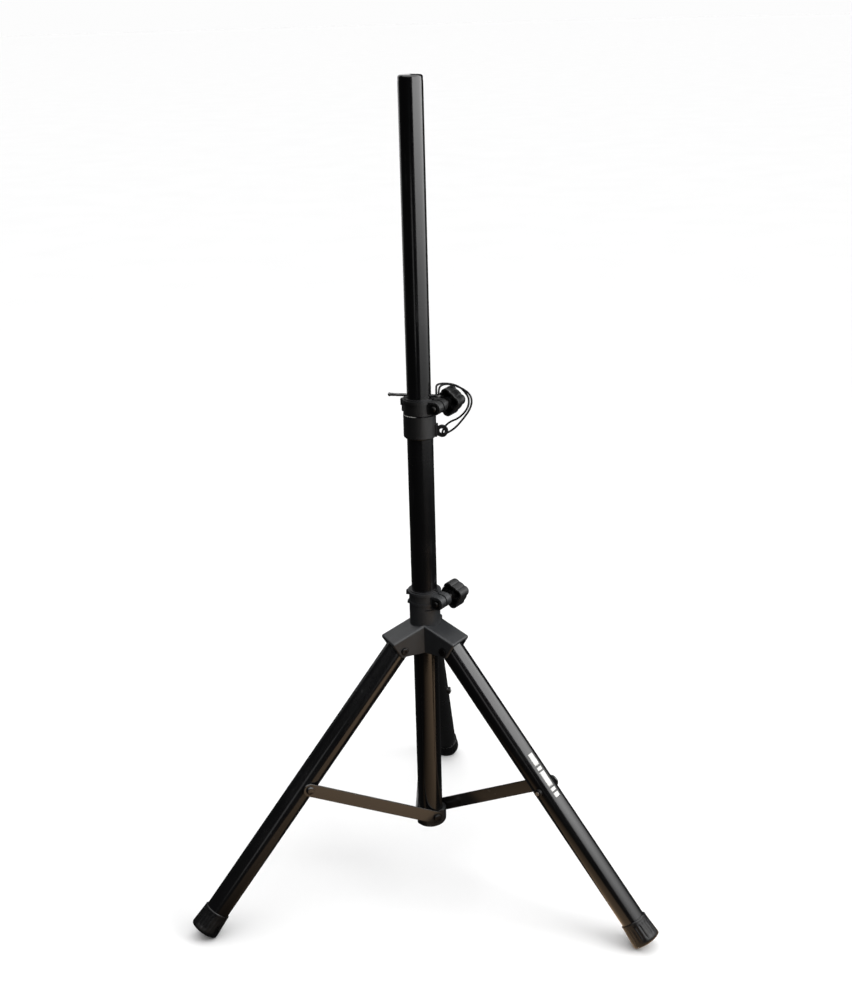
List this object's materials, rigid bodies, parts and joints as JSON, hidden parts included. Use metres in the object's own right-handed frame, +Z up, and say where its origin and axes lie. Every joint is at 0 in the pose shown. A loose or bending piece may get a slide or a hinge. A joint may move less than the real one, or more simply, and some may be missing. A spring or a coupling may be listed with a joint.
{
  "type": "loudspeaker stand",
  "caption": "Black telescoping tripod stand for a loudspeaker: folding braced legs on a sliding hub, a clamped pole with a locking pin on a cord, and a round pole top.",
  "frame": {"origin": "on the floor, at the centre of the part's footprint; the pole axis is at x = 0, y = -0.0935 m", "axes": "+Z up along the pole, +Y towards the rear leg; the other two legs are at 120 degrees either side, towards -Y"},
  "size_m": [0.6932, 0.6061, 1.23],
  "materials": {
    "column_paint": "gloss black powder coat",
    "pole_paint": "gloss black powder coat",
    "leg_paint": "gloss black powder coat",
    "brace_paint": "semi-gloss black paint",
    "hub_plastic": "satin moulded charcoal",
    "knob_plastic": "satin moulded black",
    "bush_plastic": "satin black",
    "boot_rubber": "matte black",
    "cord_fabric": "braided black cord",
    "dark_steel": "blackened, satin",
    "bright_steel": "zinc plated"
  },
  "bodies": {
    "column": {"cord_lug": "bush_plastic", "lanyard": "cord_fabric", "lower_hub": "hub_plastic", "lower_hub_screws": "dark_steel", "outer_tube": "column_paint", "tube_foot_plug": "bush_plastic", "upper_clamp": "hub_plastic", "upper_clamp_liner": "bush_plastic", "upper_clamp_nut": "dark_steel"},
    "hub": {"hub_bush": "bush_plastic", "hub_clamp_nut": "dark_steel", "leg_pivot_bolts": "dark_steel", "leg_pivot_nuts": "dark_steel", "tripod_hub": "hub_plastic"},
    "pole": {"inner_pole": "pole_paint", "pole_guide": "bush_plastic", "pole_top_cap": "bush_plastic"},
    "pin": {"locking_pin": "bright_steel"},
    "upper_knob": {"upper_knob": "knob_plastic", "upper_knob_stud": "bright_steel"},
    "hub_knob": {"hub_knob": "knob_plastic", "hub_knob_stud": "bright_steel"},
    "leg_rear": {"leg_rear_boot": "boot_rubber", "leg_rear_brace_bolt": "bright_steel", "leg_rear_brace_nut": "dark_steel", "leg_rear_plug": "bush_plastic", "leg_rear_spacer": "dark_steel", "leg_rear_tube": "leg_paint"},
    "brace_rear": {"brace_rear_bar": "brace_paint", "brace_rear_rivet": "bright_steel"},
    "leg_left": {"leg_left_boot": "boot_rubber", "leg_left_brace_bolt": "bright_steel", "leg_left_brace_nut": "dark_steel", "leg_left_plug": "bush_plastic", "leg_left_spacer": "dark_steel", "leg_left_tube": "leg_paint"},
    "brace_left": {"brace_left_bar": "brace_paint", "brace_left_rivet": "bright_steel"},
    "leg_right": {"leg_right_boot": "boot_rubber", "leg_right_brace_bolt": "bright_steel", "leg_right_brace_nut": "dark_steel", "leg_right_plug": "bush_plastic", "leg_right_spacer": "dark_steel", "leg_right_tube": "leg_paint"},
    "brace_right": {"brace_right_bar": "brace_paint", "brace_right_rivet": "bright_steel"}
  },
  "joints": [
    {"name": "hub_slide", "type": "slide", "parent": "column", "child": "hub", "axis": [0, 0, 1], "range_m": [0, 0.18053]},
    {"name": "leg_rear_fold", "type": "hinge", "parent": "hub", "child": "leg_rear", "pos_m": [0, -0.0485, 0.404], "axis": [-1, 0, 0], "range_deg": [0, 38.61]},
    {"name": "leg_left_fold", "type": "hinge", "parent": "hub", "child": "leg_left", "pos_m": [-0.03897, -0.116, 0.404], "axis": [0.5, -0.866, 0], "range_deg": [0, 38.61]},
    {"name": "leg_right_fold", "type": "hinge", "parent": "hub", "child": "leg_right", "pos_m": [0.03897, -0.116, 0.404], "axis": [0.5, 0.866, 0], "range_deg": [0, 38.61]},
    {"name": "brace_rear_fold", "type": "hinge", "parent": "column", "child": "brace_rear", "pos_m": [0, -0.0935, 0.1065], "axis": [1, 0, 0], "range_deg": [0, 49.43]},
    {"name": "brace_left_fold", "type": "hinge", "parent": "column", "child": "brace_left", "pos_m": [0, -0.0935, 0.1065], "axis": [-0.5, 0.866, 0], "range_deg": [0, 49.43]},
    {"name": "brace_right_fold", "type": "hinge", "parent": "column", "child": "brace_right", "pos_m": [0, -0.0935, 0.1065], "axis": [-0.5, -0.866, 0], "range_deg": [0, 49.43]},
    {"name": "pole_slide", "type": "slide", "parent": "column", "child": "pole", "axis": [0, 0, 1], "range_m": [0, 0.57]},
    {"name": "pin_pull", "type": "slide", "parent": "column", "child": "pin", "axis": [0.9903, -0.1392, 0], "range_m": [0, 0.066], "deforming": ["lanyard"]},
    {"name": "upper_knob_turn", "type": "hinge", "parent": "column", "child": "upper_knob", "pos_m": [0.02832, -0.10611, 0.775], "axis": [0.4067, 0.9135, 0], "range_deg": [0, 540]},
    {"name": "hub_knob_turn", "type": "hinge", "parent": "hub", "child": "hub_knob", "pos_m": [0.02598, -0.1085, 0.475], "axis": [0.5, 0.866, 0], "range_deg": [0, 540]}
  ],
  "couplings": [
    {"joint": "leg_rear_fold", "follows": "hub_slide", "rad_per_m": 3.7318},
    {"joint": "leg_left_fold", "follows": "hub_slide", "rad_per_m": 3.7318},
    {"joint": "leg_right_fold", "follows": "hub_slide", "rad_per_m": 3.7318},
    {"joint": "brace_rear_fold", "follows": "hub_slide", "rad_per_m": 4.7774},
    {"joint": "brace_left_fold", "follows": "hub_slide", "rad_per_m": 4.7774},
    {"joint": "brace_right_fold", "follows": "hub_slide", "rad_per_m": 4.7774}
  ]
}
